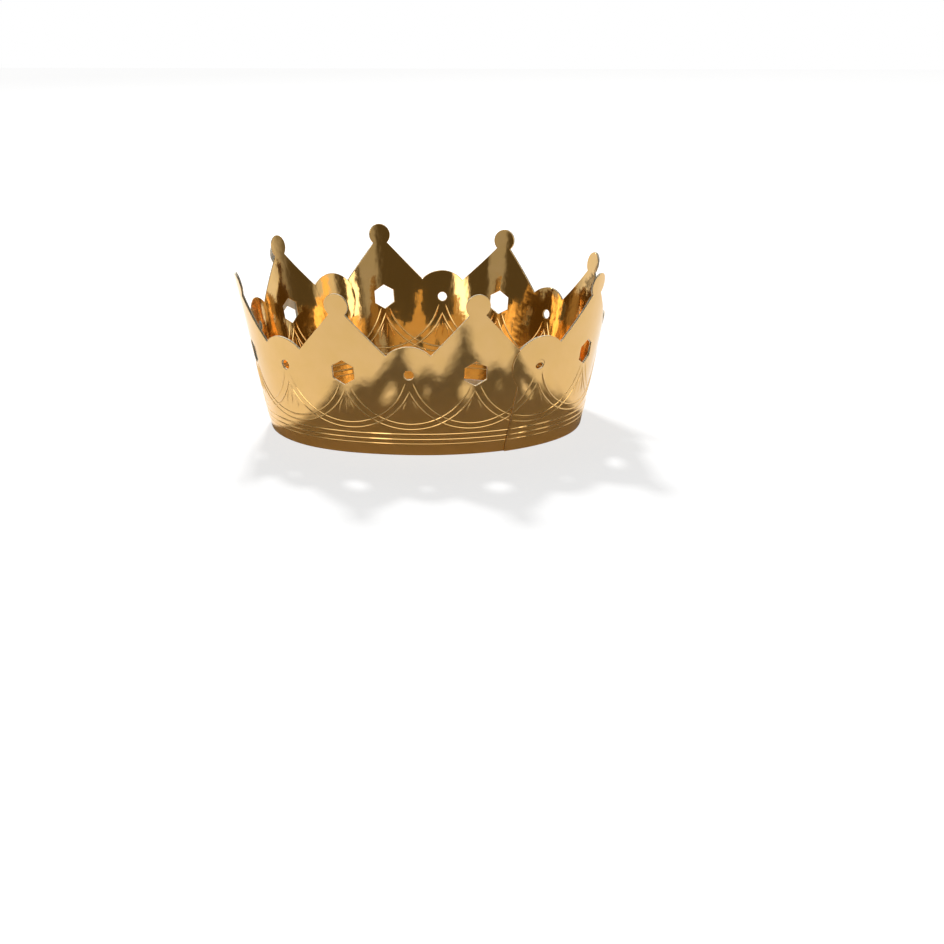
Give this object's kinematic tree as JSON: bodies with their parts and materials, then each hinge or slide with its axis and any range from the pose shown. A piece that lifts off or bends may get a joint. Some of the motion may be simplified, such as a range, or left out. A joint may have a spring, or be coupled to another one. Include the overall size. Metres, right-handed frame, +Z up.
{
  "type": "paper crown",
  "caption": "Round crown of embossed mirror-foil card, flared outwards, with pointed ball-tipped peaks, round lobes and punched windows.",
  "frame": {"origin": "centre of the bottom edge, on the surface that the crown stands on", "axes": "+Z up through the open crown, -Y to the middle of the front, where a round lobe stands between two peaks"},
  "size_m": [0.2103, 0.2103, 0.098],
  "materials": {
    "gold_foil_card": "mirror-bright gold foil on white card, embossed and die-cut",
    "tape": "thin double-sided tape"
  },
  "bodies": {
    "root": {"front_outer_card": "gold_foil_card", "rear_outer_card": "gold_foil_card", "front_inner_card": "gold_foil_card", "rear_inner_card": "gold_foil_card", "right_outer_lap_tape": "tape", "left_outer_lap_tape": "tape", "right_inner_lap_tape": "tape", "left_inner_lap_tape": "tape"}
  },
  "joints": []
}
